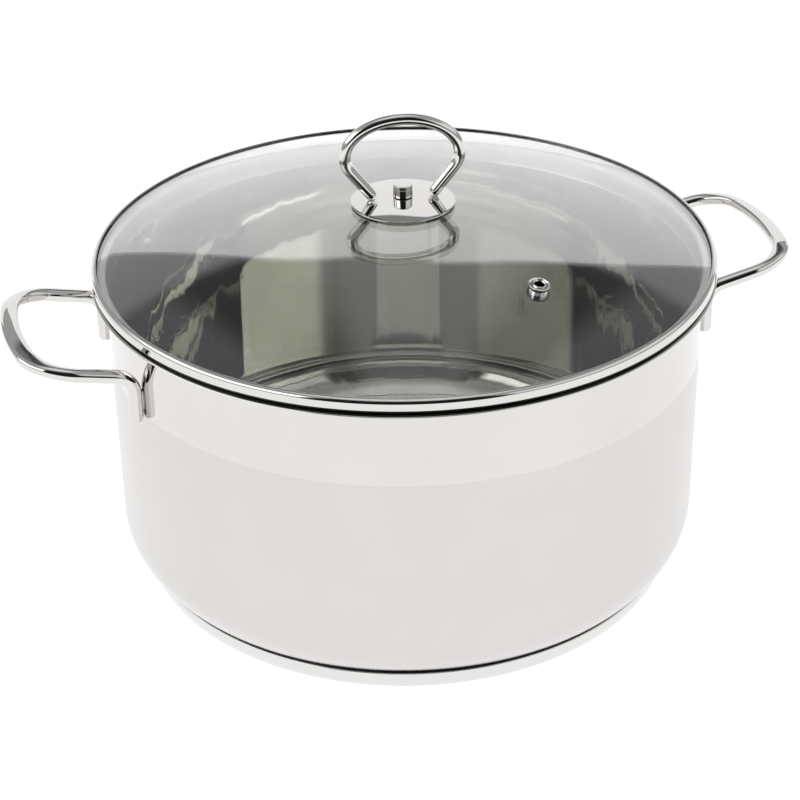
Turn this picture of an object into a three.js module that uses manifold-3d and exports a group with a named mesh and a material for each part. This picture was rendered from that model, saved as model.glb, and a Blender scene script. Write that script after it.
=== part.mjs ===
// Stock pot: a drawn steel pot with an encapsulated base and two bent-rod handles,
// and a domed glass lid with a steel band, a wire-loop knob and a steam vent.
// Millimetres, +Z up. The origin is the centre of the base's underside, and the
// two handles lie along X.

import * as THREE from 'three';
import { mergeVertices } from 'three/addons/utils/BufferGeometryUtils.js';
import Module from 'manifold-3d';

const wasm = await Module();
wasm.setup();

// ---------------------------------------------------------------- dimensions
const GAP = 0.3;             // clearance left between pieces that touch
const SIDES = 48;            // facets around the pot and the lid
const SMALL_SIDES = 24;      // facets around the knob and vent parts

// pot shell
const SHELL_T = 0.8;         // sheet thickness
const WALL_R = 141;          // outer radius of the wall (28 cm class)
const CORNER_R = 28;         // outer radius of the bottom corner
const SHELL_BOTTOM = 5;      // underside of the shell's flat bottom
const LIP_R = 147;           // outer radius of the flared lip
const LIP_TOP = 155;         // top of the lip
const LIP_BEND = 4;          // bend radius of the lip, sheet centre
const LIP_END = 62;          // degrees where the bend ends, past its highest point at 90

// encapsulated base
const CAPSULE_T = 0.7;       // steel cap's sheet thickness
const BASE_FLAT_R = 125.8;   // flat face that stands on the hob
const SEAM_R = 131.7;        // outer radius of the cap's upper edge
const SEAM_Z = 10.4;         // height of the cap's upper edge
const CORE_TOP = 8;          // upper edge of the aluminium core's rim

// side handles, each one bent rod
const ROD_R = 3.2;
const LEG_SPREAD = 82;       // distance between the two legs of a handle
const LEG_BOTTOM = 115;
const HANDLE_Z = 136.9;      // height of the bend above the leg
const HANDLE_TILT = 12;      // degrees that the loop rises outwards
const HANDLE_REACH = 189.7;  // middle of the grip, before its bend is rounded
const GRIP_BOW = 8.5;        // how far the grip's middle stands out from its corners
const CORNER_SPREAD = 82.6;  // distance between the loop's two outer corners
const LEG_BEND = 10;
const LOOP_CORNER = 22;
const GRIP_BEND = 120;

// lid glass and band
const GLASS_T = 4;
const GLASS_R = 145.5;       // outer edge of the glass
const DOME_R = 448;          // radius of the dome's upper face
const DOME_TOP = 185;        // highest point of the glass
const SCREW_HOLE_R = 3.6;
const BAND_T = 0.6;
const BAND_R = 146.7;        // outer face of the band
const BAND_TOP = 162.2;
const BAND_SHOULDER = 2.1;   // bend over the glass's edge, sheet centre
const LEDGE_Z = 155.3;       // ledge that rests on the lip, sheet centre
const FLANGE_R = 139.3;      // flange that drops into the pot, sheet centre
const FLANGE_BOTTOM = 145.7;
const LID_TURN = -9.5;       // degrees the lid is turned from the handle line

// knob
const PLATE_R = 24.5;
const PLATE_T = 0.6;
const PLATE_RIM_TOP = 185.4;
const PLATE_RISE = 2.1;      // crown of the plate above its rim
const LOOP_ROD_R = 2.75;
const LOOP_FOOT = 14.2;      // half the distance between the loop's feet
const LOOP_WIDE = 26.7;      // half the width of the loop's centre line
const LOOP_WIDE_Z = 22.7;    // height of the widest point above the plate's rim
const LOOP_TOP = 40.4;       // highest point of the centre line above the plate's rim
const LOOP_LEAN = 39;        // degrees that the legs lean outwards
const LOOP_KNEE_R = 11;      // bend between a leg and the loop's widest point
const NUT_R = 4.6;
const NUT_H = 5.9;
const THREAD_R = 1.95;
const GASKET_R = 14;
const LOOP_LIFT = 1.5;       // foot of the loop's centre line above the plate
const UNDER_GASKET_R = 11;
const UNDER_GASKET_T = 1.85;
const WASHER_R = 9;
const WASHER_T = 1.2;
const SCREW_HEAD_R = 4.4;
const SCREW_HEAD_H = 2.6;
const NUT_ROOF = 1;          // metal above the nut's thread

// heights in the stack under the glass, from the glass down
const GASKET_TOP = DOME_TOP - GLASS_T - GAP;
const WASHER_TOP = GASKET_TOP - UNDER_GASKET_T - GAP;
const HEAD_TOP = WASHER_TOP - WASHER_T - GAP;

// steam vent
const VENT_RADIUS = 92.8;    // distance of the vent from the lid's axis
const VENT_AZIMUTH = -67;    // degrees from +X
const VENT_HOLE_R = 4.3;     // hole in the glass
const EYELET_R = 4.9;
const EYELET_BORE_R = 2.3;
const EYELET_LOW = 1.2;      // underside of the eyelet's flange above the glass

// ----------------------------------------------------------------- materials
function finish(color, metalness, roughness) {
  return new THREE.MeshStandardMaterial({ color, metalness, roughness });
}

const POLISHED = finish(0xd9d8d5, 1, 0.08);
const BRUSHED = finish(0xcfcdc9, 1, 0.3);
const ALUMINIUM = finish(0xb9bcbf, 1, 0.4);
const GLASS = new THREE.MeshStandardMaterial({
  color: 0xdfe6e4, metalness: 0, roughness: 0.03, transparent: true, opacity: 0.3,
});
const SILICONE = finish(0x26272a, 0, 0.7);

// ------------------------------------------------------------------- helpers
const radians = THREE.MathUtils.degToRad;

function point(r, z) {
  return new THREE.Vector2(r, z);
}

// Points on an arc about (r, z), angles in degrees, both ends included.
function arc(r, z, radius, start, end, steps) {
  return Array.from({ length: steps + 1 }, (_, i) => {
    const angle = radians(start + ((end - start) * i) / steps);
    return point(r + radius * Math.cos(angle), z + radius * Math.sin(angle));
  });
}

// The points of a path moved sideways, to its left for a positive distance.
function offset(path, distance) {
  return path.map((here, i) => {
    const before = path[Math.max(i - 1, 0)];
    const after = path[Math.min(i + 1, path.length - 1)];
    const into = (i > 0 ? here.clone().sub(before) : after.clone().sub(here)).normalize();
    const out = (i < path.length - 1 ? after.clone().sub(here) : into.clone()).normalize();
    const along = into.clone().add(out).normalize();
    const reach = distance / along.dot(out);
    return point(here.x - along.y * reach, here.y + along.x * reach);
  });
}

// A closed outline of bent sheet, from the path of the sheet's middle.
function sheet(path, thickness) {
  const outer = offset(path, -thickness / 2);
  const inner = offset(path, thickness / 2);
  return [...outer, ...inner.reverse()];
}

// A solid of revolution about Z. The outline runs anticlockwise with the radius to
// the right, and closes on itself unless both of its ends are on the axis.
function turned(outline, sides) {
  const first = outline[0];
  const last = outline[outline.length - 1];
  const onAxis = first.x === 0 && last.x === 0;
  const closed = onAxis ? outline : [...outline, first.clone()];
  return new THREE.LatheGeometry(closed, sides).rotateX(Math.PI / 2);
}

// A path of straight runs, with a bend of the given radius at each inner corner.
function bentPath(corners, bends) {
  const path = new THREE.CurvePath();
  let from = corners[0];
  bends.forEach((radius, i) => {
    const corner = corners[i + 1];
    const back = corners[i].clone().sub(corner).normalize();
    const on = corners[i + 2].clone().sub(corner).normalize();
    const trim = radius / Math.tan(back.angleTo(on) / 2);
    const start = corner.clone().addScaledVector(back, trim);
    const end = corner.clone().addScaledVector(on, trim);
    path.add(new THREE.LineCurve3(from, start));
    path.add(new THREE.QuadraticBezierCurve3(start, corner, end));
    from = end;
  });
  path.add(new THREE.LineCurve3(from, corners[corners.length - 1]));
  return path;
}

function rod(path, radius, steps, sides) {
  const section = new THREE.Shape().absarc(0, 0, radius, 0, 2 * Math.PI);
  return new THREE.ExtrudeGeometry(section, {
    extrudePath: path,
    steps,
    curveSegments: sides / 2,   // an arc gets two facets for each of these
    bevelEnabled: false,
  });
}

function toManifold(geometry) {
  const bare = geometry.clone();
  bare.deleteAttribute('normal');
  bare.deleteAttribute('uv');
  const merged = mergeVertices(bare, 1e-4);
  return new wasm.Manifold(new wasm.Mesh({
    numProp: 3,
    vertProperties: new Float32Array(merged.attributes.position.array),
    triVerts: new Uint32Array(merged.index.array),
  }));
}

function cut(geometry, tool) {
  const result = toManifold(geometry).subtract(toManifold(tool)).getMesh();
  const made = new THREE.BufferGeometry();
  made.setAttribute('position', new THREE.BufferAttribute(result.vertProperties, 3));
  made.setIndex(new THREE.BufferAttribute(result.triVerts, 1));
  return made;
}

function named(name, geometry, material) {
  const mesh = new THREE.Mesh(geometry, material);
  mesh.name = name;
  return mesh;
}

// Height of the glass dome's upper face at a distance from the lid's axis.
function domeHeight(r) {
  return DOME_TOP - DOME_R + Math.sqrt(DOME_R ** 2 - r ** 2);
}

// Height of the knob plate's upper face at a distance from the lid's axis.
function plateHeight(r) {
  return PLATE_RIM_TOP + PLATE_RISE * (1 - (r / PLATE_R) ** 2);
}

// ------------------------------------------------------------------- the pot
// Where the lip's sheet centre ends: straight on from its bend, out to the lip's radius.
function lipEnd() {
  const angle = radians(LIP_END);
  const bendEnd = point(
    WALL_R - SHELL_T / 2 + LIP_BEND + LIP_BEND * Math.cos(angle),
    LIP_TOP - SHELL_T / 2 - LIP_BEND + LIP_BEND * Math.sin(angle),
  );
  const radius = LIP_R - (SHELL_T / 2) * Math.cos(angle);
  return point(radius, bendEnd.y - (radius - bendEnd.x) / Math.tan(angle));
}

// Sheet centre of the shell, from the middle of the bottom to the edge of the lip.
function shellPath() {
  const wall = WALL_R - SHELL_T / 2;
  const bottom = SHELL_BOTTOM + SHELL_T / 2;
  const corner = CORNER_R - SHELL_T / 2;
  const lipZ = LIP_TOP - SHELL_T / 2;
  return [
    point(0, bottom),
    ...arc(wall - corner, bottom + corner, corner, -90, 0, 6),
    ...arc(wall + LIP_BEND, lipZ - LIP_BEND, LIP_BEND, 180, LIP_END, 6),
    lipEnd(),
  ];
}

function potBody() {
  return named('pot_body', turned(sheet(shellPath(), SHELL_T), SIDES), POLISHED);
}

// Outer face of the shell's bottom corner, moved out by a clearance.
function shellCorner(clearance, top, steps) {
  const radius = CORNER_R + clearance;
  const centreZ = SHELL_BOTTOM + CORNER_R;
  const end = -radians(90) + Math.acos((centreZ - top) / radius);
  return arc(WALL_R - CORNER_R, centreZ, radius, -90, THREE.MathUtils.radToDeg(end), steps);
}

// Quarter-oval side of the cap, from the flat face up to the widest point.
function capSide(inset, steps) {
  const wide = SEAM_R - inset;
  const flat = BASE_FLAT_R;
  return Array.from({ length: steps + 1 }, (_, i) => {
    const angle = (Math.PI / 2) * (i / steps);
    return point(
      flat + (wide - flat) * Math.sin(angle),
      inset + (SEAM_Z - inset - 1) * (1 - Math.cos(angle)),
    );
  });
}

function baseCapsule() {
  const outline = [
    point(0, 0),
    ...capSide(0, 5),
    point(SEAM_R, SEAM_Z),
    point(SEAM_R - CAPSULE_T, SEAM_Z),
    ...capSide(CAPSULE_T, 5).reverse(),
    point(0, CAPSULE_T),
  ];
  return named('base_capsule', turned(outline, SIDES), BRUSHED);
}

function baseCore() {
  const inset = CAPSULE_T + GAP;
  const side = capSide(inset, 5).filter((p) => p.y < CORE_TOP);
  const outline = [
    point(0, inset),
    ...side,
    point(SEAM_R - inset, CORE_TOP),
    ...shellCorner(GAP, CORE_TOP, 3).reverse(),
    point(0, SHELL_BOTTOM - GAP),
  ];
  return named('base_core', turned(outline, SIDES), ALUMINIUM);
}

// One handle: two legs on the wall and a loop that rises outwards between them.
function sideHandle(name, azimuth) {
  const half = LEG_SPREAD / 2;
  const legX = Math.sqrt((WALL_R + ROD_R + GAP) ** 2 - half ** 2);
  const rise = Math.tan(radians(HANDLE_TILT));
  const loopPoint = (x, y) => new THREE.Vector3(x, y, HANDLE_Z + (x - legX) * rise);
  const corner = HANDLE_REACH - GRIP_BOW;
  const halfCorner = CORNER_SPREAD / 2;
  const path = bentPath([
    new THREE.Vector3(legX, -half, LEG_BOTTOM),
    loopPoint(legX, -half),
    loopPoint(corner, -halfCorner),
    loopPoint(HANDLE_REACH, 0),
    loopPoint(corner, halfCorner),
    loopPoint(legX, half),
    new THREE.Vector3(legX, half, LEG_BOTTOM),
  ], [LEG_BEND, LOOP_CORNER, GRIP_BEND, LOOP_CORNER, LEG_BEND]);
  const handle = named(name, rod(path, ROD_R, 64, 10), POLISHED);
  handle.rotation.z = radians(azimuth);
  return handle;
}

// ------------------------------------------------------------------- the lid
function ventFrame() {
  const azimuth = radians(VENT_AZIMUTH - LID_TURN);
  const slope = Math.asin(VENT_RADIUS / DOME_R);
  const frame = new THREE.Group();
  frame.position.set(
    VENT_RADIUS * Math.cos(azimuth),
    VENT_RADIUS * Math.sin(azimuth),
    domeHeight(VENT_RADIUS),
  );
  frame.rotation.set(0, slope, azimuth, 'ZYX');
  return frame;
}

function lidGlass() {
  const edge = Math.asin((GLASS_R - 1.2) / DOME_R);
  const hole = Math.asin(SCREW_HOLE_R / DOME_R);
  const face = (radius, angle) => point(
    radius * Math.sin(angle),
    DOME_TOP - DOME_R + radius * Math.cos(angle),
  );
  const steps = 7;
  const angles = Array.from({ length: steps + 1 }, (_, i) => hole + ((edge - hole) * i) / steps);
  const upper = angles.map((angle) => face(DOME_R, angle));
  const lower = angles.map((angle) => face(DOME_R - GLASS_T, angle));
  const middle = (upper[steps].y + lower[steps].y) / 2;
  const outline = [
    ...lower,
    point(GLASS_R, middle - 0.6),
    point(GLASS_R, middle + 0.6),
    ...upper.reverse(),
  ];
  const drill = new THREE.CylinderGeometry(VENT_HOLE_R, VENT_HOLE_R, 20, SMALL_SIDES);
  drill.rotateX(Math.PI / 2);
  const frame = ventFrame();
  frame.updateMatrix();
  drill.applyMatrix4(frame.matrix);
  return named('lid_glass', cut(turned(outline, SIDES), drill), GLASS);
}

// One strip of steel: over the glass's edge, down its outside, in under the glass
// as the ledge, and down into the pot as the flange.
function lidBand() {
  const face = BAND_R - BAND_T / 2;
  const top = BAND_TOP - BAND_T / 2;
  const path = [
    ...arc(face - BAND_SHOULDER, top - BAND_SHOULDER, BAND_SHOULDER, 86, 0, 4),
    ...arc(face - 2.6, LEDGE_Z + 2.6, 2.6, 0, -90, 3),
    ...arc(FLANGE_R + 1, LEDGE_Z - 1, 1, 90, 180, 2),
    point(FLANGE_R, FLANGE_BOTTOM + 0.8),
    point(FLANGE_R - 0.7, FLANGE_BOTTOM),
  ];
  return named('lid_band', turned(sheet(path.reverse(), BAND_T), SIDES), POLISHED);
}

function knobPlate() {
  const radii = [0, 0.3, 0.6, 0.85, 1].map((t) => THREE.MathUtils.lerp(2.6, PLATE_R, t));
  const upper = radii.map((r) => point(r, plateHeight(r)));
  const lower = radii.map((r) => point(r, plateHeight(r) - PLATE_T));
  return named('knob_plate', turned([...lower, ...upper.reverse()], SMALL_SIDES), POLISHED);
}

// One side of the loop: a leaning leg, a bend at its knee, and a quarter oval that
// goes from the widest point to the top.
function loopSide() {
  const foot = point(LOOP_FOOT, plateHeight(LOOP_FOOT) - PLATE_RIM_TOP + LOOP_LIFT);
  const knee = arc(LOOP_WIDE - LOOP_KNEE_R, LOOP_WIDE_Z, LOOP_KNEE_R, -LOOP_LEAN, 0, 4);
  const oval = [15, 30, 45, 60, 75].map((angle) => point(
    LOOP_WIDE * Math.cos(radians(angle)),
    LOOP_WIDE_Z + (LOOP_TOP - LOOP_WIDE_Z) * Math.sin(radians(angle)),
  ));
  return [foot, foot.clone().lerp(knee[0], 0.5), ...knee, ...oval];
}

// The grip: an omega of round rod standing on the plate.
function knobLoop() {
  const side = loopSide();
  const points = [
    ...side,
    point(0, LOOP_TOP),
    ...side.map((p) => point(-p.x, p.y)).reverse(),
  ].map((p) => new THREE.Vector3(p.x, 0, PLATE_RIM_TOP + p.y));
  const curve = new THREE.CatmullRomCurve3(points);
  return named('knob_loop', rod(curve, LOOP_ROD_R, 48, 10), POLISHED);
}

// Blind nut: threaded from below, with a small chamfer round its top.
function knobNut() {
  const bottom = plateHeight(0) + GAP;
  const top = bottom + NUT_H;
  const thread = THREAD_R + GAP;
  const outline = [
    point(0, top - NUT_ROOF),
    point(thread, top - NUT_ROOF),
    point(thread, bottom),
    point(NUT_R, bottom),
    point(NUT_R, top - 0.4),
    point(NUT_R - 0.4, top),
    point(0, top),
  ];
  return named('knob_nut', turned(outline, SMALL_SIDES), POLISHED);
}

function upperGasket() {
  const inner = 2.6;
  const outline = [
    point(inner, domeHeight(inner) + GAP),
    point(GASKET_R, domeHeight(GASKET_R) + GAP),
    point(GASKET_R, plateHeight(GASKET_R) - PLATE_T - GAP),
    point(inner, plateHeight(inner) - PLATE_T - GAP),
  ];
  return named('knob_gasket_upper', turned(outline, SMALL_SIDES), SILICONE);
}

// A flat ring about the axis.
function ring(name, inner, outer, bottom, top, material) {
  const outline = [
    point(inner, bottom),
    point(outer, bottom),
    point(outer, top),
    point(inner, top),
  ];
  return named(name, turned(outline, SMALL_SIDES), material);
}

// Under the glass a soft gasket, a steel washer and a pan-head screw.
function lowerGasket() {
  const bore = THREAD_R + 2 * GAP;
  const top = GASKET_TOP - (DOME_TOP - domeHeight(UNDER_GASKET_R));
  const bottom = GASKET_TOP - UNDER_GASKET_T;
  return ring('knob_gasket_lower', bore, UNDER_GASKET_R, bottom, top, SILICONE);
}

function knobWasher() {
  const bore = THREAD_R + GAP;
  return ring('knob_washer', bore, WASHER_R, WASHER_TOP - WASHER_T, WASHER_TOP, BRUSHED);
}

function knobScrew() {
  const bottom = HEAD_TOP - SCREW_HEAD_H;
  const tip = plateHeight(0) + NUT_H - NUT_ROOF;
  const outline = [
    point(0, bottom),
    ...arc(SCREW_HEAD_R - 1.6, bottom + 1.6, 1.6, -90, 0, 3),
    point(SCREW_HEAD_R, HEAD_TOP),
    point(THREAD_R, HEAD_TOP),
    point(THREAD_R, tip - 0.4),
    point(THREAD_R - 0.4, tip),
    point(0, tip),
  ];
  const slot = new THREE.BoxGeometry(5.2, 1.1, 3.2);
  slot.translate(0, 0, bottom);
  const cross = slot.clone().rotateZ(Math.PI / 2);
  const screw = cut(cut(turned(outline, SMALL_SIDES), slot), cross);
  return named('knob_screw', screw, BRUSHED);
}

// Vent parts are made about their own axis, with z = 0 on the glass's upper face.
function ventParts() {
  const frame = ventFrame();
  const tube = EYELET_BORE_R + 0.6;
  const underside = -GLASS_T;
  const eyelet = [
    point(EYELET_BORE_R, underside - 3.2),
    point(tube, underside - 3.2),
    point(tube, EYELET_LOW),
    point(EYELET_R - 0.3, EYELET_LOW),
    point(EYELET_R, EYELET_LOW + 0.3),
    point(EYELET_R - 0.3, EYELET_LOW + 0.7),
    point(EYELET_R - 1, EYELET_LOW + 0.8),
    point(EYELET_R - 1.3, EYELET_LOW + 0.4),
    point(tube + 0.3, EYELET_LOW + 0.4),
    point(tube, EYELET_LOW + 0.9),
    point(EYELET_BORE_R + 0.3, EYELET_LOW + 0.9),
    point(EYELET_BORE_R, EYELET_LOW + 0.6),
  ];
  const bore = tube + GAP;
  const neck = VENT_HOLE_R - GAP;
  const grommet = [
    point(bore, underside - 1.6),
    point(EYELET_R, underside - 1.6),
    point(EYELET_R, underside - GAP),
    point(neck, underside - GAP),
    point(neck, GAP),
    point(EYELET_R - 0.3, GAP),
    point(EYELET_R - 0.3, EYELET_LOW - GAP),
    point(bore, EYELET_LOW - GAP),
  ];
  const collarTop = underside - 1.6 - GAP;
  frame.add(
    named('vent_eyelet', turned(eyelet, SMALL_SIDES), POLISHED),
    named('vent_gasket', turned(grommet, SMALL_SIDES), SILICONE),
    ring('vent_collar', bore, EYELET_R, collarTop - 0.8, collarTop, POLISHED),
  );
  return frame;
}

function lid() {
  const group = new THREE.Group();
  group.rotation.z = radians(LID_TURN);
  group.add(
    lidGlass(),
    lidBand(),
    knobPlate(),
    knobLoop(),
    knobNut(),
    knobScrew(),
    knobWasher(),
    upperGasket(),
    lowerGasket(),
    ventParts(),
  );
  return group;
}

const stockPot = new THREE.Group();
stockPot.add(
  potBody(),
  baseCore(),
  baseCapsule(),
  sideHandle('right_handle', 0),
  sideHandle('left_handle', 180),
  lid(),
);

export default stockPot;
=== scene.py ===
"""Stock pot with a glass lid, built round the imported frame. Metres, +Z up."""

import math

import bmesh
import bpy
from mathutils import Matrix, Vector


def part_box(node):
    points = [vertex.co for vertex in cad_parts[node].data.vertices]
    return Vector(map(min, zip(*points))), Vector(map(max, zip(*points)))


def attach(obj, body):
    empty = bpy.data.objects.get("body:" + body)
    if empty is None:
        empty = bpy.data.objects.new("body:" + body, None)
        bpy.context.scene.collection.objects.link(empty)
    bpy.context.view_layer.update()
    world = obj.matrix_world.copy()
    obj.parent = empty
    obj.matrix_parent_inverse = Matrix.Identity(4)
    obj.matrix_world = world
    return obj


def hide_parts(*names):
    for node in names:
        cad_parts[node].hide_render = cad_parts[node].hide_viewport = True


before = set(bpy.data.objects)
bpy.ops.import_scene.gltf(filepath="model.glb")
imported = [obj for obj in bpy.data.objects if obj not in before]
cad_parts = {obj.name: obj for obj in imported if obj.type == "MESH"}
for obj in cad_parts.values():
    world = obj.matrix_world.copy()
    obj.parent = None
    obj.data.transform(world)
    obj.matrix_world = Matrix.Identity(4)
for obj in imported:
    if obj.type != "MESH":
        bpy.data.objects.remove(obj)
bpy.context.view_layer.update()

MM = 0.001
SEGMENTS = 256          # facets round the pot and the lid
SMALL_SEGMENTS = 96     # facets round the knob and vent parts

# ---------------------------------------------------------------------------- sizes
# The outer sizes come from the frame, and the rest is named here.
pot_low, pot_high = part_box("pot_body")
cap_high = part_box("base_capsule")[1]
band_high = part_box("lid_band")[1]
plate_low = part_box("knob_plate")[0]
nut_low, nut_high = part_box("knob_nut")
leg_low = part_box("right_handle")[0]

GAP = 0.3 * MM
SHELL_T = 0.8 * MM
WALL_R = 141 * MM
CORNER_R = 28 * MM
SHELL_BOTTOM = pot_low.z
LIP_R = pot_high.x
LIP_TOP = pot_high.z
LIP_BEND = 4 * MM
LIP_END = 62            # degrees where the lip's bend ends
PAINTED_BAND_HIGH = 1.5 * MM  # height above the ledge of the painted shade on the band's lower bend and of the painted light on its ledge
POLISH_Z = 117 * MM     # the polished band starts here, the satin wall is below it

CAPSULE_T = 0.7 * MM
BASE_FLAT_R = 125.8 * MM
SEAM_R = cap_high.x
SEAM_Z = cap_high.z

ROD_R = 3.2 * MM
LEG_SPREAD = 82 * MM
LEG_BOTTOM = leg_low.z
HANDLE_Z = 136.9 * MM
HANDLE_TILT = math.radians(12)
HANDLE_REACH = 189.5 * MM
GRIP_BOW = 8.5 * MM
CORNER_SPREAD = 82.6 * MM
GRIP_SPREAD = 1 * MM    # the grip is pressed this much wider on each side
GRIP_PRESS = 0.7 * MM   # and this much thinner
GRIP_LEAN = math.radians(24)
GRIP_START = 0.24       # where the pressing begins, as a part of the rod's length
GRIP_FULL = 0.36        # and where it is complete
LEG_BEND = 9 * MM
LOOP_CORNER = 22 * MM
GRIP_BEND = 120 * MM
ROD_STEP = 1.2 * MM     # spacing of the rings along a handle
ROD_END = 0.002         # the part of a rod's length over which its ends taper
WELD_HALF = (0.32 * MM, 1.1 * MM, 6 * MM)
WELD_DROP = 2 * MM

GLASS_T = 4 * MM
GLASS_R = 145.5 * MM
DOME_R = 448 * MM
DOME_TOP = 185 * MM
SCREW_HOLE_R = 3.6 * MM
GLASS_EDGE = 1.2 * MM   # width and height of the glass's ground edge
BAND_T = 0.6 * MM
BAND_R = 146.7 * MM
BAND_SHOULDER = 2.1 * MM
BAND_BEND = 2.6 * MM    # bend from the band's face into its ledge
FLANGE_BEND = 1 * MM
HEM_IN = 0.6 * MM       # the flange's end leans this far in
HEM_LOW = 0.15 * MM     # heights of the lean's end and start above the flange's bottom
HEM_HIGH = 0.9 * MM
BAND_TOP = band_high.z
LEDGE_Z = 155.3 * MM
FLANGE_R = 139.3 * MM
FLANGE_BOTTOM = 145.7 * MM
LID_TURN = math.radians(-9.5)

PLATE_R = 24.5 * MM
PLATE_T = 0.6 * MM
PLATE_RIM_TOP = plate_low.z + PLATE_T
PLATE_RISE = 2.1 * MM
PLATE_HOLE_R = 2.6 * MM
LOOP_ROD_R = 2.75 * MM
LOOP_FOOT = 14.2 * MM
LOOP_LIFT = 1.5 * MM
LOOP_WIDE = 26.7 * MM
LOOP_WIDE_Z = 22.7 * MM
LOOP_TOP = 40.25 * MM
LOOP_LEAN = 39
LOOP_KNEE_R = 11 * MM
NUT_R = 4.6 * MM
NUT_ROOF = 1 * MM
NUT_EDGE = 0.35 * MM
NUT_CHAMFER = 0.15 * MM
THREAD_R = 1.95 * MM
GASKET_R = 14 * MM
UNDER_GASKET_R = 11 * MM
UNDER_GASKET_T = 1.85 * MM
WASHER_R = 9 * MM
WASHER_T = 1.2 * MM
SCREW_HEAD_R = 4.4 * MM
SCREW_HEAD_H = 2.6 * MM
SCREW_HEAD_ROUND = 1.6 * MM
THREAD_CHAMFER = 0.4 * MM
GASKET_TOP = DOME_TOP - GLASS_T - GAP
WASHER_TOP = GASKET_TOP - UNDER_GASKET_T - GAP
HEAD_TOP = WASHER_TOP - WASHER_T - GAP

VENT_RADIUS = 92.8 * MM
VENT_AZIMUTH = math.radians(-67)
VENT_HOLE_R = 4.3 * MM
EYELET_R = 4.9 * MM
EYELET_BORE_R = 2.3 * MM
EYELET_TUBE_R = 2.9 * MM
EYELET_LOW = 1.2 * MM
EYELET_EDGE = 0.3 * MM
EYELET_DEEP = 3.2 * MM  # below the glass
GROMMET_DEEP = 1.6 * MM
GROMMET_EDGE = 0.35 * MM
COLLAR_T = 0.8 * MM

# camera, measured from the pot's axis
CAMERA_AZIMUTH = math.radians(-16.5)
CAMERA_DISTANCE = 882 * MM
CAMERA_HEIGHT = 588.8 * MM
CAMERA_PITCH = math.radians(30.09)
CAMERA_PAN = math.radians(-0.185)
CAMERA_ROLL = math.radians(-0.9)
CAMERA_LENS = 93.25

# brightness of what the steel mirrors
BACKDROP_LIGHT = 1.3
WALL_LIGHT = 0.5
LEFT_LIGHT = 2.6
RIGHT_LIGHT = 1.1
CARD_LIGHT = 0.1        # dark card over the backdrop, to each side
CARD_MIDDLE = 0.34      # and in its middle
CARD_EDGE = 0.26        # and at its ends
CEILING_LIGHT = 1.0
FRONT_SHADE = 0.96
FLOOR_LIGHT = 0.92

# Where those lights are, in degrees: upwards, or to the right of straight behind the
# pot as the camera sees it. A pair is a soft edge, from its start to its end.
ARCH_MIDDLE = 2
ARCH_HALF = 26.5
ARCH_TOP = 40
ARCH_POWER = 2.5        # makes the arch a rounded rectangle
RIPPLE_HIGH = 0.5
RIPPLE_RATE = 0.33
BACKDROP_SOFT = 0.6
SWEEP_TOP = 17.5        # pale sweep below the arch
SWEEP_SIDE = (36, 40)
CARD_SIDE = (34, 40)
CARD_LOW = (31, 35)
CARD_DIM = (8, 16)
CARD_ENDS = (23, 29)
CEILING_LOW = (62, 78)
LEVEL_LOW = (14, 20)    # the two side lights stand between these heights
LEVEL_HIGH = (38, 46)
LEFT_NEAR = (-84, -52)
LEFT_FAR = (-146, -140)
RIGHT_NEAR = (52, 66)
RIGHT_FAR = (139, 145)
FRONT_SIDE = (141, 149)
FRONT_TOP = (55, 62)
HORIZON = (-3, 0)


# ------------------------------------------------------------------------- outlines
def arc(r, z, radius, start, end, steps):
    """Points on an arc about (r, z), angles in degrees, both ends included."""
    turns = [math.radians(start + (end - start) * i / steps) for i in range(steps + 1)]
    return [(r + radius * math.cos(a), z + radius * math.sin(a)) for a in turns]


def offset(path, distance):
    """The path moved sideways, to its left for a positive distance."""
    points = [Vector(p) for p in path]
    moved = []
    for i, here in enumerate(points):
        before = points[max(i - 1, 0)]
        after = points[min(i + 1, len(points) - 1)]
        into = (here - before if i else after - here).normalized()
        out = (after - here if i < len(points) - 1 else into).normalized()
        along = (into + out).normalized()
        reach = distance / along.dot(out)
        moved.append((here.x - along.y * reach, here.y + along.x * reach))
    return moved


def round_edge(path, thickness, steps=6):
    """Half circle that closes the free edge of a sheet at the end of its path."""
    tip = Vector(path[-1])
    into = (tip - Vector(path[-2])).normalized()
    heading = math.degrees(math.atan2(into.y, into.x))
    points = arc(tip.x, tip.y, thickness / 2, heading - 90, heading + 90, steps)
    return points[1:-1]


def sheet(path, thickness, round_start=False):
    """Closed outline of bent sheet, from the path of the sheet's middle. Its far edge
    is rounded, and its near one too if asked."""
    outline = offset(path, -thickness / 2)
    outline += round_edge(path, thickness)
    outline += offset(path, thickness / 2)[::-1]
    if round_start:
        outline += round_edge(path[::-1], thickness)
    return outline


def dome_height(r):
    """Height of the glass's upper face at a distance from the lid's axis."""
    return DOME_TOP - DOME_R + math.sqrt(DOME_R**2 - r**2)


def plate_height(r):
    """Height of the knob plate's upper face at a distance from the lid's axis."""
    return PLATE_RIM_TOP + PLATE_RISE * (1 - (r / PLATE_R) ** 2)


# --------------------------------------------------------------------------- meshes
def finish_mesh(name, bm, sharp=35):
    """A smooth-shaded object from a bmesh, creased where it bends more than sharp."""
    bmesh.ops.remove_doubles(bm, verts=bm.verts, dist=1e-7)
    bmesh.ops.recalc_face_normals(bm, faces=bm.faces)
    mesh = bpy.data.meshes.new(name)
    bm.to_mesh(mesh)
    bm.free()
    mesh.shade_smooth()
    mesh.set_sharp_from_angle(angle=math.radians(sharp))
    obj = bpy.data.objects.new(name, mesh)
    bpy.context.scene.collection.objects.link(obj)
    return obj


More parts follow.
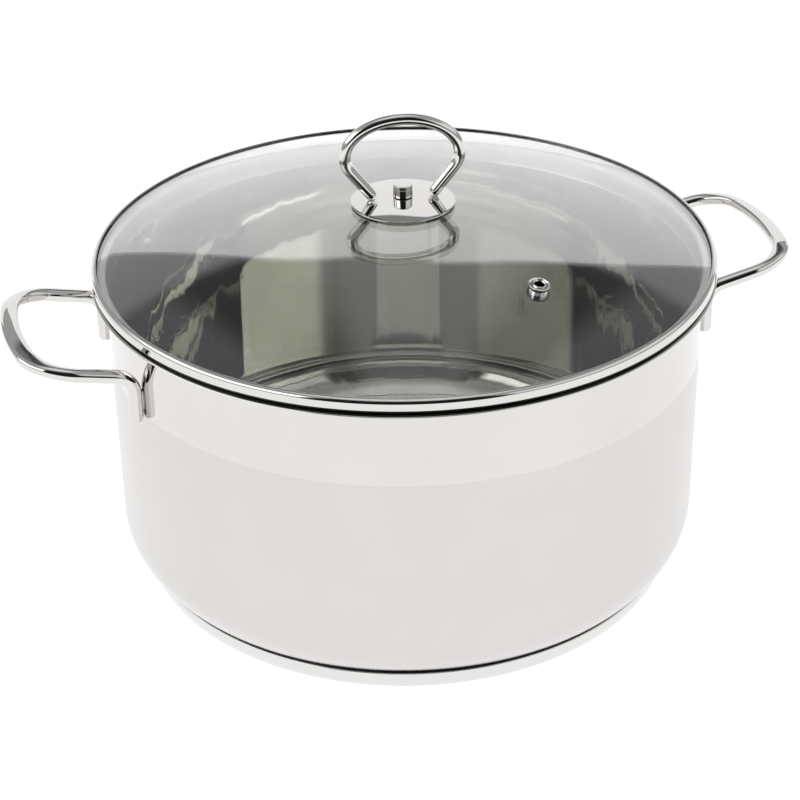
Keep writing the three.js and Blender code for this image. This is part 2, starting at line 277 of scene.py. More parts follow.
def revolve(name, outline, segments, zone=None, sharp=35):
    """Solid of revolution about Z. zone(i) gives the material index of edge i."""
    bm = bmesh.new()
    on_axis = [abs(r) < 1e-9 for r, _ in outline]
    rings = []
    for (r, z), axial in zip(outline, on_axis):
        if axial:
            rings.append([bm.verts.new((0, 0, z))] * segments)
            continue
        turns = [2 * math.pi * k / segments for k in range(segments)]
        rings.append([bm.verts.new((r * math.cos(a), r * math.sin(a), z)) for a in turns])
    for i in range(len(outline)):
        j = (i + 1) % len(outline)
        if on_axis[i] and on_axis[j]:
            continue
        for k in range(segments):
            m = (k + 1) % segments
            corners = [rings[i][k], rings[i][m], rings[j][m], rings[j][k]]
            face = bm.faces.new(list(dict.fromkeys(corners)))
            face.material_index = zone(i) if zone else 0
    return finish_mesh(name, bm, sharp)


def bent_path(corners, bends, spacing):
    """Evenly spaced points along straight runs joined by true arcs."""
    corners = [Vector(c) for c in corners]
    points = [corners[0]]
    for i, radius in enumerate(bends):
        corner = corners[i + 1]
        back = (corners[i] - corner).normalized()
        on = (corners[i + 2] - corner).normalized()
        half = back.angle(on) / 2
        start = corner + back * (radius / math.tan(half))
        centre = corner + (back + on).normalized() * (radius / math.sin(half))
        axis = back.cross(on).normalized()
        sweep = math.pi - 2 * half
        steps = max(4, math.ceil(sweep * radius / spacing))
        run = max(1, round((start - points[-1]).length / spacing))
        points += [points[-1].lerp(start, k / run) for k in range(1, run + 1)]
        arm = start - centre
        turns = [Matrix.Rotation(-sweep * k / steps, 3, axis) for k in range(1, steps + 1)]
        points += [centre + turn @ arm for turn in turns]
    run = max(1, round((corners[-1] - points[-1]).length / spacing))
    points += [points[-1].lerp(corners[-1], k / run) for k in range(1, run + 1)]
    return points


def sweep(name, points, side, section, sides=32, sharp=50):
    """Rod along points. side is the section's first axis at the start, and
    section(t, angle) gives the section's two offsets at t from 0 to 1."""
    bm = bmesh.new()
    lengths = [0.0]
    for a, b in zip(points, points[1:]):
        lengths.append(lengths[-1] + (b - a).length)
    rings = []
    axis = Vector(side)
    for i, here in enumerate(points):
        tangent = (points[min(i + 1, len(points) - 1)] - points[max(i - 1, 0)]).normalized()
        axis = (axis - tangent * axis.dot(tangent)).normalized()
        other = tangent.cross(axis)
        t = lengths[i] / lengths[-1]
        offsets = [section(t, 2 * math.pi * k / sides) for k in range(sides)]
        rings.append([bm.verts.new(here + axis * u + other * v) for u, v in offsets])
    for low, high in zip(rings, rings[1:]):
        for k in range(sides):
            m = (k + 1) % sides
            bm.faces.new([low[k], low[m], high[m], high[k]])
    bm.faces.new(rings[0][::-1])
    bm.faces.new(rings[-1])
    return finish_mesh(name, bm, sharp)


def place(obj, matrix):
    """Moves an object's mesh by a matrix."""
    obj.data.transform(matrix)
    return obj


# ------------------------------------------------------------------------ materials
class Nodes:
    """Short calls that add shader nodes to one node tree."""

    def __init__(self, tree):
        self.tree = tree
        tree.nodes.clear()

    def add(self, kind, **settings):
        node = self.tree.nodes.new(kind)
        for key, value in settings.items():
            setattr(node, key, value)
        return node

    def link(self, source, target):
        self.tree.links.new(source, target)

    def value(self, socket, given):
        if isinstance(given, bpy.types.NodeSocket):
            self.link(given, socket)
        else:
            socket.default_value = given

    def math(self, operation, first, second=0.0):
        node = self.add("ShaderNodeMath", operation=operation)
        self.value(node.inputs[0], first)
        self.value(node.inputs[1], second)
        return node.outputs[0]

    def rise(self, given, low, high, start=0.0, end=1.0):
        """Smooth step from start to end as given goes from low to high."""
        node = self.add("ShaderNodeMapRange", interpolation_type="SMOOTHSTEP")
        self.value(node.inputs["Value"], given)
        node.inputs["From Min"].default_value = low
        node.inputs["From Max"].default_value = high
        self.value(node.inputs["To Min"], start)
        self.value(node.inputs["To Max"], end)
        return node.outputs[0]

    def fall(self, given, low, high):
        """Smooth step from 1 down to 0 as given goes from low to high."""
        return self.rise(given, low, high, 1, 0)

    def times(self, first, second):
        return self.math("MULTIPLY", first, second)

    def size(self, given):
        return self.math("ABSOLUTE", given)

    def blend(self, factor, first, second):
        """Number from first to second as factor goes from 0 to 1."""
        node = self.add("ShaderNodeMix", data_type="FLOAT")
        self.value(node.inputs[0], factor)
        self.value(node.inputs[2], first)
        self.value(node.inputs[3], second)
        return node.outputs[0]

    def coordinates(self, scale):
        coord = self.add("ShaderNodeTexCoord")
        mapping = self.add("ShaderNodeMapping")
        self.link(coord.outputs["Object"], mapping.inputs["Vector"])
        mapping.inputs["Scale"].default_value = scale
        return mapping.outputs[0]

    def noise(self, scale, detail=2.0, roughness=0.5, stretch=(1, 1, 1)):
        node = self.add("ShaderNodeTexNoise")
        self.link(self.coordinates(stretch), node.inputs["Vector"])
        node.inputs["Scale"].default_value = scale
        node.inputs["Detail"].default_value = detail
        node.inputs["Roughness"].default_value = roughness
        return node.outputs["Fac"]

    def mix(self, factor, first, second):
        node = self.add("ShaderNodeMix", data_type="RGBA")
        self.value(node.inputs[0], factor)
        self.value(node.inputs[6], (*first, 1))
        self.value(node.inputs[7], (*second, 1))
        return node.outputs[2]

    def bump(self, height, strength, distance):
        node = self.add("ShaderNodeBump")
        node.inputs["Strength"].default_value = strength
        node.inputs["Distance"].default_value = distance
        self.link(height, node.inputs["Height"])
        return node.outputs[0]


def material(name):
    """A material with a Principled shader, as its node helper and the shader."""
    made = bpy.data.materials.new(name)
    made.use_nodes = True
    nodes = Nodes(made.node_tree)
    shader = nodes.add("ShaderNodeBsdfPrincipled")
    output = nodes.add("ShaderNodeOutputMaterial")
    nodes.link(shader.outputs[0], output.inputs["Surface"])
    return made, nodes, shader.inputs


def steel(name, dark, light, rough, grain, anisotropic=0.0, wave=0.0, drawn=0.0):
    """Stainless steel. grain is how deep the turned lines round the axis are, wave
    how uneven the polish is, drawn how deep the upright draw marks of the wall are."""
    made, nodes, inputs = material(name)
    lines = nodes.noise(1, 3, 0.6, stretch=(14, 14, 5200))
    clouds = nodes.noise(22, 3, 0.55)
    tone = nodes.math("ADD", nodes.math("MULTIPLY", lines, grain), clouds)
    nodes.link(nodes.mix(nodes.rise(tone, 0.3, 0.7 + grain), dark, light), inputs["Base Color"])
    inputs["Metallic"].default_value = 1
    low, high = rough
    nodes.link(nodes.rise(nodes.math("ADD", lines, clouds), 0.6, 1.4, low, high), inputs["Roughness"])
    if anisotropic:
        inputs["Anisotropic"].default_value = anisotropic
        tangent = nodes.add("ShaderNodeTangent", direction_type="RADIAL", axis="Z")
        nodes.link(tangent.outputs[0], inputs["Tangent"])
    if grain:
        nodes.link(nodes.bump(lines, grain, 0.02 * MM), inputs["Normal"])
    elif drawn:
        marks = nodes.noise(1, 1, 0.4, stretch=(70, 70, 1))
        nodes.link(nodes.bump(marks, drawn, 1 * MM), inputs["Normal"])
    elif wave:
        nodes.link(nodes.bump(nodes.noise(90, 1), wave, 0.05 * MM), inputs["Normal"])
    return made


def glass(name):
    made, nodes, inputs = material(name)
    nodes.link(
        nodes.mix(nodes.noise(6, 1), (0.965, 0.985, 0.978), (0.975, 0.99, 0.985)),
        inputs["Base Color"],
    )
    inputs["Transmission Weight"].default_value = 1
    inputs["IOR"].default_value = 1.5
    inputs["Coat Weight"].default_value = 1
    inputs["Coat IOR"].default_value = 2.1
    inputs["Coat Roughness"].default_value = 0
    nodes.link(nodes.rise(nodes.noise(40, 2), 0.3, 0.7, 0.0, 0.012), inputs["Roughness"])
    return made


def silicone(name):
    made, nodes, inputs = material(name)
    nodes.link(
        nodes.mix(nodes.noise(300, 3), (0.012, 0.012, 0.013), (0.03, 0.03, 0.032)),
        inputs["Base Color"],
    )
    nodes.link(nodes.rise(nodes.noise(500, 2), 0.3, 0.7, 0.5, 0.7), inputs["Roughness"])
    nodes.link(nodes.bump(nodes.noise(900, 2), 0.2, 0.05 * MM), inputs["Normal"])
    return made


def aluminium(name):
    made, nodes, inputs = material(name)
    nodes.link(
        nodes.mix(nodes.noise(60, 3), (0.58, 0.59, 0.6), (0.66, 0.67, 0.68)),
        inputs["Base Color"],
    )
    inputs["Metallic"].default_value = 1
    nodes.link(nodes.rise(nodes.noise(200, 3), 0.3, 0.7, 0.35, 0.5), inputs["Roughness"])
    return made


POLISHED = steel("polished_steel", (0.71, 0.70, 0.685), (0.735, 0.725, 0.71), (0.015, 0.04), 0.0, wave=0.03)
BRIGHT = steel("polished_band", (0.715, 0.70, 0.69), (0.735, 0.72, 0.71), (0.03, 0.07), 0.03)
SATIN = steel("satin_wall", (0.665, 0.65, 0.64), (0.69, 0.675, 0.665), (0.18, 0.26), 0.25, 0.5)
INSIDE = steel("inside_wall", (0.65, 0.65, 0.59), (0.71, 0.71, 0.65), (0.015, 0.04), 0.0, drawn=0.45)
FLOOR_IN = steel("inside_floor", (0.62, 0.62, 0.58), (0.68, 0.68, 0.64), (0.02, 0.05), 0.0)
BASE = steel("base_steel", (0.74, 0.73, 0.725), (0.77, 0.76, 0.75), (0.1, 0.18), 0.1, 0.3)
# zones of the lid's band: painted shade under its face, painted light on its ledge, and its inner cut edge
SHADE_UNDER_BAND = steel("painted_shade_steel", (0.012, 0.012, 0.011), (0.03, 0.03, 0.028), (0.3, 0.45), 0.0)
# painted light: the ledge's steel is made brighter than the rest to stand in for what it mirrors
LIT_LEDGE = steel("painted_light_ledge_steel", (0.86, 0.86, 0.85), (0.9, 0.9, 0.89), (0.3, 0.4), 0.0)
CUT_EDGE = steel("cut_edge", (0.62, 0.62, 0.6), (0.7, 0.7, 0.68), (0.5, 0.6), 0.0)
GLASS = glass("clear_glass")
SILICONE = silicone("dark_silicone")
ALUMINIUM = aluminium("core_aluminium")


def dress(obj, body, nodes, slot, *materials):
    """Gives a piece its materials, its body and the CAD nodes that it stands for."""
    for each in materials:
        obj.data.materials.append(each)
    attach(obj, body)
    if nodes:
        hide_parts(*nodes)


# ------------------------------------------------------------------------ the pot
def shell_path():
    """Middle of the shell's sheet, from the centre of the bottom to the lip's edge."""
    wall = WALL_R - SHELL_T / 2
    bottom = SHELL_BOTTOM + SHELL_T / 2
    corner = CORNER_R - SHELL_T / 2
    lip_z = LIP_TOP - SHELL_T / 2
    turn = arc(wall - corner, bottom + corner, corner, -90, 0, 24)
    flare = arc(wall + LIP_BEND, lip_z - LIP_BEND, LIP_BEND, 180, LIP_END, 18)
    slope = math.radians(LIP_END)
    r, z = flare[-1]
    out = LIP_R - SHELL_T / 2 - r
    return [(0, bottom), *turn, (wall, POLISH_Z), *flare, (r + out, z - out / math.tan(slope))]


def pot_shell():
    path = shell_path()
    outline = sheet(path, SHELL_T)
    outer = len(path)
    inner_start = len(outline) - outer

    def zone(i):
        z = (outline[i][1] + outline[(i + 1) % len(outline)][1]) / 2
        if i < outer and z < POLISH_Z:
            return 1
        if i < inner_start:
            return 0
        return 3 if z < SHELL_BOTTOM + 2 * SHELL_T else 2

    obj = revolve("pot_shell", outline, SEGMENTS, zone, sharp=50)
    dress(obj, "pot", ["pot_body"], "polished_steel", BRIGHT, SATIN, INSIDE, FLOOR_IN)


def cap_side(inset, steps):
    """Quarter-oval side of the base's cap, from the flat face to its widest point."""
    wide = SEAM_R - inset
    angles = [math.pi / 2 * i / steps for i in range(steps + 1)]
    height = SEAM_Z - inset - 1 * MM
    return [
        (BASE_FLAT_R + (wide - BASE_FLAT_R) * math.sin(a), inset + height * (1 - math.cos(a)))
        for a in angles
    ]


def base_cap():
    edge = 0.3 * MM
    outline = [(0, 0), *cap_side(0, 18)]
    outline += arc(SEAM_R - edge, SEAM_Z - edge, edge, 0, 90, 4)
    outline += [(SEAM_R - CAPSULE_T, SEAM_Z), *cap_side(CAPSULE_T, 18)[::-1], (0, CAPSULE_T)]
    obj = revolve("base_cap", outline, SEGMENTS)
    dress(obj, "pot", ["base_capsule"], "satin_steel", BASE)


def handle_path():
    """Middle of a side handle's rod, up one leg, round the loop and down the other."""
    half = LEG_SPREAD / 2
    leg_x = math.sqrt((WALL_R + ROD_R + GAP) ** 2 - half**2)
    rise = math.tan(HANDLE_TILT)
    reach = HANDLE_REACH - GRIP_SPREAD

    def loop_point(x, y):
        return (x, y, HANDLE_Z + (x - leg_x) * rise)

    corner = reach - GRIP_BOW
    corners = [
        (leg_x, -half, LEG_BOTTOM),
        loop_point(leg_x, -half),
        loop_point(corner, -CORNER_SPREAD / 2),
        loop_point(reach, 0),
        loop_point(corner, CORNER_SPREAD / 2),
        loop_point(leg_x, half),
        (leg_x, half, LEG_BOTTOM),
    ]
    bends = [LEG_BEND, LOOP_CORNER, GRIP_BEND, LOOP_CORNER, LEG_BEND]
    return bent_path(corners, bends, ROD_STEP)


def smooth(low, high, value):
    """Smooth step from 0 to 1 as value goes from low to high."""
    t = min(max((value - low) / (high - low), 0), 1)
    return t * t * (3 - 2 * t)


def end_taper(t, least):
    """Scale of a rod's section at t from 0 to 1: least at its tips, 1 beyond them."""
    return min(1, least + (1 - least) * min(t, 1 - t) / ROD_END)


def handle_section(t, angle):
    """Round at the legs, pressed wider and flatter along the grip."""
    grip = smooth(GRIP_START, GRIP_FULL, t) * smooth(GRIP_START, GRIP_FULL, 1 - t)
    end = end_taper(t, 0.85)
    wide = (ROD_R + GRIP_SPREAD * grip) * end
    thick = (ROD_R - GRIP_PRESS * grip) * end
    power = 1 - 0.4 * grip
    u = math.copysign(abs(math.cos(angle)) ** power, math.cos(angle)) * wide
    v = math.copysign(abs(math.sin(angle)) ** power, math.sin(angle)) * thick
    lean = GRIP_LEAN * grip
    return u * math.cos(lean) - v * math.sin(lean), u * math.sin(lean) + v * math.cos(lean)


def side_handle(name, node, azimuth):
    """One side handle and the welds of its two legs."""
    turn = Matrix.Rotation(azimuth, 4, "Z")
    rod = place(sweep(name, handle_path(), (0, 1, 0), handle_section), turn)
    dress(rod, "pot", [node], "polished_steel", POLISHED)
    for end in (-1, 1):
        bead = weld_bead(f"{name}_weld_{'near' if end < 0 else 'far'}", end)
        place(bead, turn)
        dress(bead, "pot", [], "polished_steel", BASE)


def weld_bead(name, end):
    """Thin fused strip between a handle's leg and the wall."""
    angle = math.asin(end * LEG_SPREAD / 2 / (WALL_R + ROD_R + GAP))
    middle = (LEG_BOTTOM + HANDLE_Z) / 2 - WELD_DROP
    outline = [(0, -1), *arc(0, 0, 1, -90, 90, 16)[1:-1], (0, 1)]
    bead = revolve(name, outline, 24)
    place(bead, Matrix.Diagonal((*WELD_HALF, 1)))
    place(bead, Matrix.Translation((WALL_R + GAP / 2, 0, middle)))
    return place(bead, Matrix.Rotation(angle, 4, "Z"))


# ------------------------------------------------------------------------ the lid
LID_FRAME = Matrix.Rotation(LID_TURN, 4, "Z")


def vent_frame():
    """The vent's own frame: z = 0 is the glass's upper face, +Z stands off it."""
    slope = math.asin(VENT_RADIUS / DOME_R)
    spot = Matrix.Translation((VENT_RADIUS, 0, dome_height(VENT_RADIUS)))
    return Matrix.Rotation(VENT_AZIMUTH, 4, "Z") @ spot @ Matrix.Rotation(slope, 4, "Y")


def lid_dome():
    """Domed glass with a ground edge, and holes for the knob's screw and the vent."""
    steps = 40
    edge = math.asin((GLASS_R - GLASS_EDGE) / DOME_R)
    hole = math.asin(SCREW_HOLE_R / DOME_R)
    angles = [hole + (edge - hole) * i / steps for i in range(steps + 1)]
    base = DOME_TOP - DOME_R

    def face(radius):
        return [(radius * math.sin(a), base + radius * math.cos(a)) for a in angles]

    upper = face(DOME_R)
    lower = face(DOME_R - GLASS_T)
    middle = (upper[-1][1] + lower[-1][1]) / 2
    rim = [(GLASS_R, middle - GLASS_EDGE / 2), (GLASS_R, middle + GLASS_EDGE / 2)]
    obj = revolve("lid_dome", [*lower, *rim, *upper[::-1]], SEGMENTS)
    reach = 10 * MM
    bore = [(0, -reach), (VENT_HOLE_R, -reach), (VENT_HOLE_R, reach), (0, reach)]
    cut_away(obj, place(revolve("vent_drill", bore, 64), vent_frame()))
    dome_normals(obj.data)
    dress(obj, "lid", ["lid_glass"], "lid_glass", GLASS)


def cut_away(obj, tool):
    """Cuts the tool's shape out of an object, and removes the tool."""
    cut = obj.modifiers.new("cut", "BOOLEAN")
    cut.operation = "DIFFERENCE"
    cut.solver = "EXACT"
    cut.object = tool
    graph = bpy.context.evaluated_depsgraph_get()
    mesh = bpy.data.meshes.new_from_object(obj.evaluated_get(graph), depsgraph=graph)
    obj.modifiers.clear()
    obj.data = mesh
    bpy.data.objects.remove(tool)


def dome_normals(mesh):
    """Gives both faces of the dome the true sphere's normals."""
    centre = Vector((0, 0, DOME_TOP - DOME_R))
    normals = []
    for poly in mesh.polygons:
        for index in poly.vertices:
            out = (mesh.vertices[index].co - centre).normalized()
            lean = poly.normal.dot(out)
            normals.append(out if lean > 0.9 else -out if lean < -0.9 else poly.normal.copy())
    mesh.normals_split_custom_set(normals)


def band_path():
    """Middle of the band's sheet: over the glass's edge, down its face, in along the
    ledge and down the flange."""
    face = BAND_R - BAND_T / 2
    top = BAND_TOP - BAND_T / 2
    bend = BAND_SHOULDER
    return [
        *arc(face - bend, top - bend, bend, 84, 0, 14),
        *arc(face - BAND_BEND, LEDGE_Z + BAND_BEND, BAND_BEND, 0, -90, 12),
        *arc(FLANGE_R + FLANGE_BEND, LEDGE_Z - FLANGE_BEND, FLANGE_BEND, 90, 180, 8),
        (FLANGE_R, FLANGE_BOTTOM + HEM_HIGH),
        (FLANGE_R - HEM_IN, FLANGE_BOTTOM + HEM_LOW),
    ]


def lid_band():
    path = band_path()
    outline = sheet(path[::-1], BAND_T, True)
    outer = len(path)
    cut_edge = range(outer - 2, outer + 8)

    def zone(i):
        """0 polished, 1 painted shade under the face, 2 cut edge, 3 painted light on the ledge."""
        r, z = outline[i]
        low = z < LEDGE_Z + PAINTED_BAND_HIGH
        outside = i < outer
        # painted shade: near-black steel on the outer lower bend, standing in for the dark shadow line
        # under the band
        if low and outside and r > WALL_R:
            return 1
        # painted light: a brighter copy of the steel on the ledge, standing in for the light it mirrors
        if low and not outside and FLANGE_R - BAND_T < r < BAND_R - 2 * BAND_T:
            return 3
        return 2 if i in cut_edge else 0

    obj = revolve("lid_rim_band", outline, SEGMENTS, zone, sharp=60)
    dress(obj, "lid", ["lid_band"], "polished_steel", POLISHED, SHADE_UNDER_BAND, CUT_EDGE, LIT_LEDGE)


def knob_plate():
    steps = 24
    radii = [PLATE_HOLE_R + (PLATE_R - PLATE_HOLE_R) * i / steps for i in range(steps + 1)]
    path = [(r, plate_height(r) - PLATE_T / 2) for r in radii[:-1]]
    path.append((PLATE_R - PLATE_T / 2, plate_height(PLATE_R) - PLATE_T / 2))
    obj = revolve("knob_base_plate", sheet(path, PLATE_T), SMALL_SEGMENTS * 2, sharp=60)
    dress(obj, "lid", ["knob_plate"], "polished_steel", POLISHED)


def loop_side():
    """A leaning leg, a bend at its knee, and a quarter oval up to the loop's top."""
    foot = (LOOP_FOOT, plate_height(LOOP_FOOT) - PLATE_RIM_TOP + LOOP_LIFT)
    knee = arc(LOOP_WIDE - LOOP_KNEE_R, LOOP_WIDE_Z, LOOP_KNEE_R, -LOOP_LEAN, 0, 8)
    rise = LOOP_TOP - LOOP_WIDE_Z
    turns = [math.radians(7.5 * i) for i in range(1, 12)]
    oval = [(LOOP_WIDE * math.cos(a), LOOP_WIDE_Z + rise * math.sin(a)) for a in turns]
    leg = [tuple(Vector(foot).lerp(Vector(knee[0]), k / 4)) for k in range(4)]
    return [*leg, *knee, *oval]


def knob_loop():
    side = loop_side()
    knots = [*side, (0, LOOP_TOP), *[(-x, z) for x, z in side[::-1]]]
    points = smooth_curve([Vector((x, 0, PLATE_RIM_TOP + z)) for x, z in knots], 4)

    def section(t, angle):
        radius = LOOP_ROD_R * end_taper(t, 0.88)
        return radius * math.cos(angle), radius * math.sin(angle)

    obj = place(sweep("knob_wire_loop", points, (0, 1, 0), section), LID_FRAME)
    dress(obj, "lid", ["knob_loop"], "polished_steel", POLISHED)
    for sign, side in ((-1, "left"), (1, "right")):
        dress(foot_weld(f"knob_weld_{side}", sign), "lid", [], "polished_steel", BASE)


def foot_weld(name, sign):
    """Small flat bead of weld under a foot of the loop."""
    outline = [(0, 0), (1.7, 0), (1.9, 0.12), (1.6, 0.3), (0.8, 0.42), (0, 0.45)]
    bead = revolve(name, [(r * MM, z * MM) for r, z in outline], 32)
    x = sign * (LOOP_FOOT + 0.4 * MM)
    place(bead, Matrix.Translation((x, 0, plate_height(LOOP_FOOT) - 0.05 * MM)))
    return place(bead, LID_FRAME)


def smooth_curve(knots, steps):
    """Catmull-Rom curve through the knots."""
    ends = [2 * knots[0] - knots[1], *knots, 2 * knots[-1] - knots[-2]]
    points = []
    for a, b, c, d in zip(ends, ends[1:], ends[2:], ends[3:]):
        for k in range(steps):
            t = k / steps
            bend = 2 * a - 5 * b + 4 * c - d
            twist = 3 * b - a - 3 * c + d
            points.append(0.5 * (2 * b + (c - a) * t + bend * t**2 + twist * t**3))
    return [*points, knots[-1]]


def knob_nut():
    low = nut_low.z
    top = nut_high.z
    thread = THREAD_R + GAP
    roof = top - NUT_ROOF
    outline = [
        (0, roof),
        (thread, roof),
        (thread, low),
        (NUT_R - NUT_CHAMFER, low),
        (NUT_R, low + NUT_CHAMFER),
    ]
    outline += arc(NUT_R - NUT_EDGE, top - NUT_EDGE, NUT_EDGE, 0, 90, 5)
    outline += [(0, top)]
    obj = revolve("knob_cap_nut", outline, SMALL_SEGMENTS)
    dress(obj, "lid", ["knob_nut"], "polished_steel", POLISHED)


def knob_fixings():
    """Gaskets over and under the glass, the washer and the screw."""
    inner = PLATE_HOLE_R
    upper = [
        (inner, dome_height(inner) + GAP),
        (GASKET_R, dome_height(GASKET_R) + GAP),
        (GASKET_R, plate_height(GASKET_R) - PLATE_T - GAP),
        (inner, plate_height(inner) - PLATE_T - GAP),
    ]
    obj = revolve("knob_pad_upper", upper, SMALL_SEGMENTS)
    dress(obj, "lid", ["knob_gasket_upper"], "silicone", SILICONE)
    low = GASKET_TOP - UNDER_GASKET_T
    high = GASKET_TOP - (DOME_TOP - dome_height(UNDER_GASKET_R))
    lower = ring(THREAD_R + 2 * GAP, UNDER_GASKET_R, low, high, 0.4 * MM)
    obj = revolve("knob_pad_lower", lower, SMALL_SEGMENTS)
    dress(obj, "lid", ["knob_gasket_lower"], "silicone", SILICONE)
    washer = ring(THREAD_R + GAP, WASHER_R, WASHER_TOP - WASHER_T, WASHER_TOP, 0.2 * MM)
    obj = revolve("knob_washer_plate", washer, SMALL_SEGMENTS)
    dress(obj, "lid", ["knob_washer"], "satin_steel", BASE)
    knob_screw()


def ring(inner, outer, low, high, edge):
    """Outline of a flat ring with rounded outer edges."""
    return [
        (inner, low),
        *arc(outer - edge, low + edge, edge, -90, 0, 4),
        *arc(outer - edge, high - edge, edge, 0, 90, 4),
        (inner, high),
    ]


def knob_screw():
    low = HEAD_TOP - SCREW_HEAD_H
    tip = plate_height(0) + (nut_high.z - nut_low.z) - NUT_ROOF
    bend = SCREW_HEAD_ROUND
    outline = [
        (0, low),
        *arc(SCREW_HEAD_R - bend, low + bend, bend, -90, 0, 8),
        (SCREW_HEAD_R, HEAD_TOP),
        (THREAD_R, HEAD_TOP),
        (THREAD_R, tip - THREAD_CHAMFER),
        (THREAD_R - THREAD_CHAMFER, tip),
        (0, tip),
    ]
    screw = revolve("knob_cross_screw", outline, SMALL_SEGMENTS)
    cut_away(screw, cross_slot(low))
    place(screw, LID_FRAME)
    dress(screw, "lid", ["knob_screw"], "satin_steel", BASE)


def cross_slot(z):
    """Cross-shaped cutter, tapering to the driver's point."""
    arm = 2.6 * MM
    half = 0.55 * MM
    clear = 1 * MM
    deep = 1.6 * MM
    taper = 0.75
    spots = []
    for quarter in range(4):
        turn = Matrix.Rotation(quarter * math.pi / 2, 2)
        spots += [turn @ Vector((arm, -half)), turn @ Vector((arm, half)), turn @ Vector((half, half))]
    bm = bmesh.new()
    low = [bm.verts.new((p.x, p.y, z - clear)) for p in spots]
    high = [bm.verts.new((p.x * taper, p.y * taper, z + deep)) for p in spots]
    count = len(spots)
    for k in range(count):
        m = (k + 1) % count
        bm.faces.new([low[k], low[m], high[m], high[k]])
    bm.faces.new(low[::-1])
    bm.faces.new(high)
    return finish_mesh("cross_cutter", bm)


def vent():
    """Steam vent: a steel eyelet in a soft grommet, held by a ring from below."""
    under = -GLASS_T
    bore, tube, flange = EYELET_BORE_R, EYELET_TUBE_R, EYELET_R
    low = EYELET_LOW
    edge = EYELET_EDGE
    eyelet = [
        (bore, under - EYELET_DEEP),
        (tube, under - EYELET_DEEP),
        (tube, low),
        (flange - edge, low),
        *arc(flange - edge, low + edge, edge, -90, 90, 6),
        (flange - 0.9 * MM, low + 0.75 * MM),
        (flange - 1.2 * MM, low + 0.4 * MM),
        (tube + 0.4 * MM, low + 0.4 * MM),
        (tube + 0.15 * MM, low + 0.8 * MM),
        (tube - 0.1 * MM, low + 0.9 * MM),
        (bore + 0.3 * MM, low + 0.85 * MM),
        (bore, low + 0.5 * MM),
    ]
    neck = VENT_HOLE_R - GAP
    soft = GROMMET_EDGE
    grommet_end = under - GROMMET_DEEP
    grommet = [
        (tube + GAP, grommet_end),
        *arc(flange - soft, grommet_end + soft, soft, -90, 0, 4),
        (flange, under - GAP),
        (neck, under - GAP),
        (neck, GAP),
        (flange - edge, GAP),
        (flange - edge, low - GAP),
        (tube + GAP, low - GAP),
    ]
    collar_top = grommet_end - GAP
    collar = ring(tube + GAP, flange, collar_top - COLLAR_T, collar_top, 0.2 * MM)
    for name, node, outline, slot, look in (
        ("vent_steel_eyelet", "vent_eyelet", eyelet, "polished_steel", POLISHED),
        ("vent_grommet", "vent_gasket", grommet, "silicone", SILICONE),
        ("vent_lower_ring", "vent_collar", collar, "polished_steel", POLISHED),
    ):
        obj = place(revolve(name, outline, SMALL_SEGMENTS), vent_frame())
        dress(obj, "lid", [node], slot, look)


# ----------------------------------------------------------------------- the studio
def studio_floor():
    """Plain pale floor, which also gives off light so that it stays even."""
    bm = bmesh.new()
    bmesh.ops.create_circle(bm, cap_ends=True, segments=96, radius=4)
    obj = finish_mesh("studio_floor", bm)
    made, nodes, inputs = material("pale_floor")
    nodes.link(nodes.mix(nodes.noise(3, 2), (0.3, 0.3, 0.3), (0.32, 0.32, 0.32)), inputs["Base Color"])
    inputs["Roughness"].default_value = 0.9
    inputs["Specular IOR Level"].default_value = 0
    inputs["Emission Color"].default_value = (1, 1, 1, 1)
    inputs["Emission Strength"].default_value = FLOOR_LIGHT
    obj.data.materials.append(made)


def sky_angles(nodes):
    """Where each spot of the sky is: degrees upwards and degrees aside."""
    coord = nodes.add("ShaderNodeTexCoord")
    turn = nodes.add("ShaderNodeVectorRotate", rotation_type="Z_AXIS")
    turn.inputs["Angle"].default_value = -CAMERA_AZIMUTH
    nodes.link(coord.outputs["Generated"], turn.inputs["Vector"])
    split = nodes.add("ShaderNodeSeparateXYZ")
    nodes.link(turn.outputs[0], split.inputs[0])
    degrees = 180 / math.pi
    height = nodes.times(nodes.math("ARCSINE", split.outputs["Z"]), degrees)
    turned = nodes.math("ARCTAN2", split.outputs["X"], split.outputs["Y"])
    return height, nodes.times(turned, degrees)


def backdrop_mask(nodes, height, aside):
    """1 on the backdrop, which has a rounded top, and on the wider sweep below it."""
    across = nodes.size(nodes.math("SUBTRACT", aside, ARCH_MIDDLE))
    across = nodes.math("MINIMUM", nodes.math("DIVIDE", across, ARCH_HALF), 1)
    arch = nodes.math("SUBTRACT", 1, nodes.math("POWER", across, ARCH_POWER))
    arch = nodes.times(nodes.math("POWER", arch, 1 / ARCH_POWER), ARCH_TOP)
    ripple = nodes.times(nodes.math("SINE", nodes.times(aside, RIPPLE_RATE)), RIPPLE_HIGH)
    arch = nodes.math("ADD", arch, ripple)
    sweep_top = nodes.times(nodes.fall(nodes.size(aside), *SWEEP_SIDE), SWEEP_TOP)
    arch = nodes.math("MAXIMUM", arch, sweep_top)
    return nodes.rise(nodes.math("SUBTRACT", arch, height), -BACKDROP_SOFT, BACKDROP_SOFT)


def over_backdrop(nodes, height, aside):
    """Grey walls, dark cards with a paler middle over the backdrop, a pale ceiling."""
    across = nodes.size(nodes.math("SUBTRACT", aside, ARCH_MIDDLE))
    card = nodes.rise(across, *CARD_DIM, CARD_MIDDLE, CARD_LIGHT)
    card = nodes.blend(nodes.rise(nodes.size(aside), *CARD_ENDS), card, CARD_EDGE)
    on_card = nodes.fall(nodes.size(aside), *CARD_SIDE)
    on_card = nodes.times(on_card, nodes.rise(height, *CARD_LOW))
    over = nodes.blend(on_card, WALL_LIGHT, card)
    return nodes.blend(nodes.rise(height, *CEILING_LOW), over, CEILING_LIGHT)


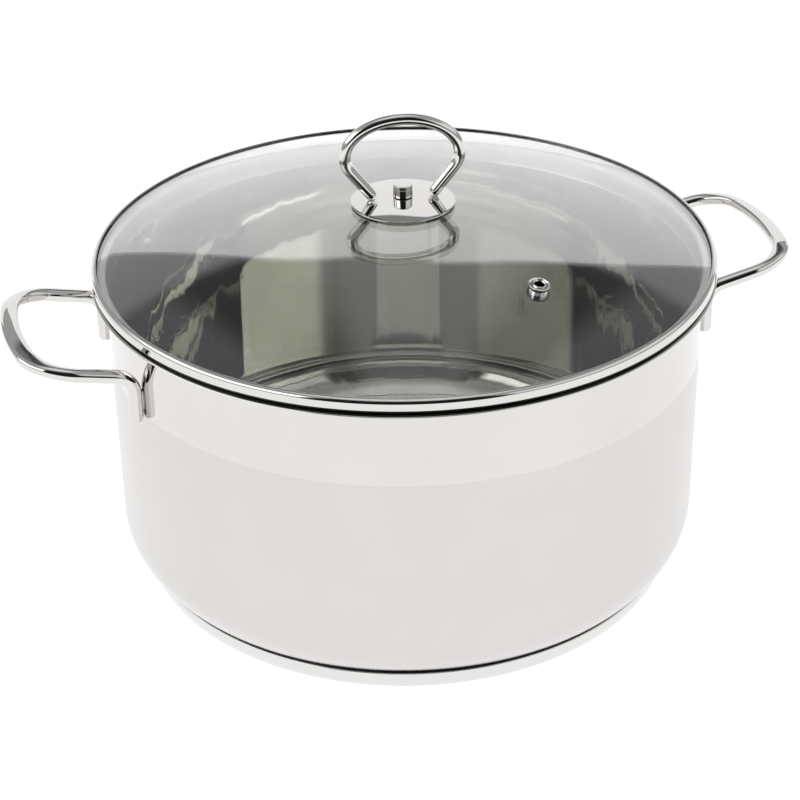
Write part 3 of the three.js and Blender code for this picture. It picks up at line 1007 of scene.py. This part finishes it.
def side_lights(nodes, height, aside, light):
    """The given light with a bright panel to the left and a fainter one to the right."""
    level = nodes.times(nodes.rise(height, *LEVEL_LOW), nodes.fall(height, *LEVEL_HIGH))
    left = nodes.times(nodes.fall(aside, *LEFT_NEAR), nodes.rise(aside, *LEFT_FAR))
    light = nodes.blend(nodes.times(left, level), light, LEFT_LIGHT)
    right = nodes.times(nodes.rise(aside, *RIGHT_NEAR), nodes.fall(aside, *RIGHT_FAR))
    return nodes.blend(nodes.times(right, level), light, RIGHT_LIGHT)


def dark_front(nodes, height, aside, light):
    """The given light dimmed on the camera's side, where the room is dark."""
    front = nodes.rise(nodes.size(aside), *FRONT_SIDE)
    front = nodes.times(front, nodes.fall(height, *FRONT_TOP))
    return nodes.times(light, nodes.math("SUBTRACT", 1, nodes.times(front, FRONT_SHADE)))


def studio_world():
    """Soft studio light by direction alone, white below the horizon."""
    world = bpy.data.worlds.new("studio")
    bpy.context.scene.world = world
    world.use_nodes = True
    nodes = Nodes(world.node_tree)
    height, aside = sky_angles(nodes)
    over = over_backdrop(nodes, height, aside)
    light = nodes.blend(backdrop_mask(nodes, height, aside), over, BACKDROP_LIGHT)
    light = side_lights(nodes, height, aside, light)
    light = dark_front(nodes, height, aside, light)
    light = nodes.blend(nodes.fall(height, *HORIZON), light, 1)
    back = nodes.add("ShaderNodeBackground")
    nodes.link(light, back.inputs["Strength"])
    output = nodes.add("ShaderNodeOutputWorld")
    nodes.link(back.outputs[0], output.inputs["Surface"])


def studio_camera():
    data = bpy.data.cameras.new("camera")
    camera = bpy.data.objects.new("camera", data)
    bpy.context.scene.collection.objects.link(camera)
    bpy.context.scene.camera = camera
    data.sensor_width = 36
    data.lens = CAMERA_LENS
    data.clip_start = 0.01
    data.clip_end = 50
    spot = Matrix.Rotation(CAMERA_AZIMUTH, 4, "Z") @ Vector((0, -CAMERA_DISTANCE, CAMERA_HEIGHT))
    heading = Matrix.Rotation(CAMERA_AZIMUTH - CAMERA_PAN, 4, "Z")
    tilt = Matrix.Rotation(math.pi / 2 - CAMERA_PITCH, 4, "X")
    roll = Matrix.Rotation(CAMERA_ROLL, 4, "Z")
    camera.matrix_world = Matrix.Translation(spot) @ heading @ tilt @ roll


pot_shell()
base_cap()
side_handle("right_side_handle", "right_handle", 0)
side_handle("left_side_handle", "left_handle", math.pi)
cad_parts["base_core"].data.materials.clear()
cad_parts["base_core"].data.materials.append(ALUMINIUM)
lid_dome()
lid_band()
knob_plate()
knob_loop()
knob_nut()
knob_fixings()
vent()
studio_floor()
studio_world()
studio_camera()
bpy.context.scene.view_settings.view_transform = "Standard"
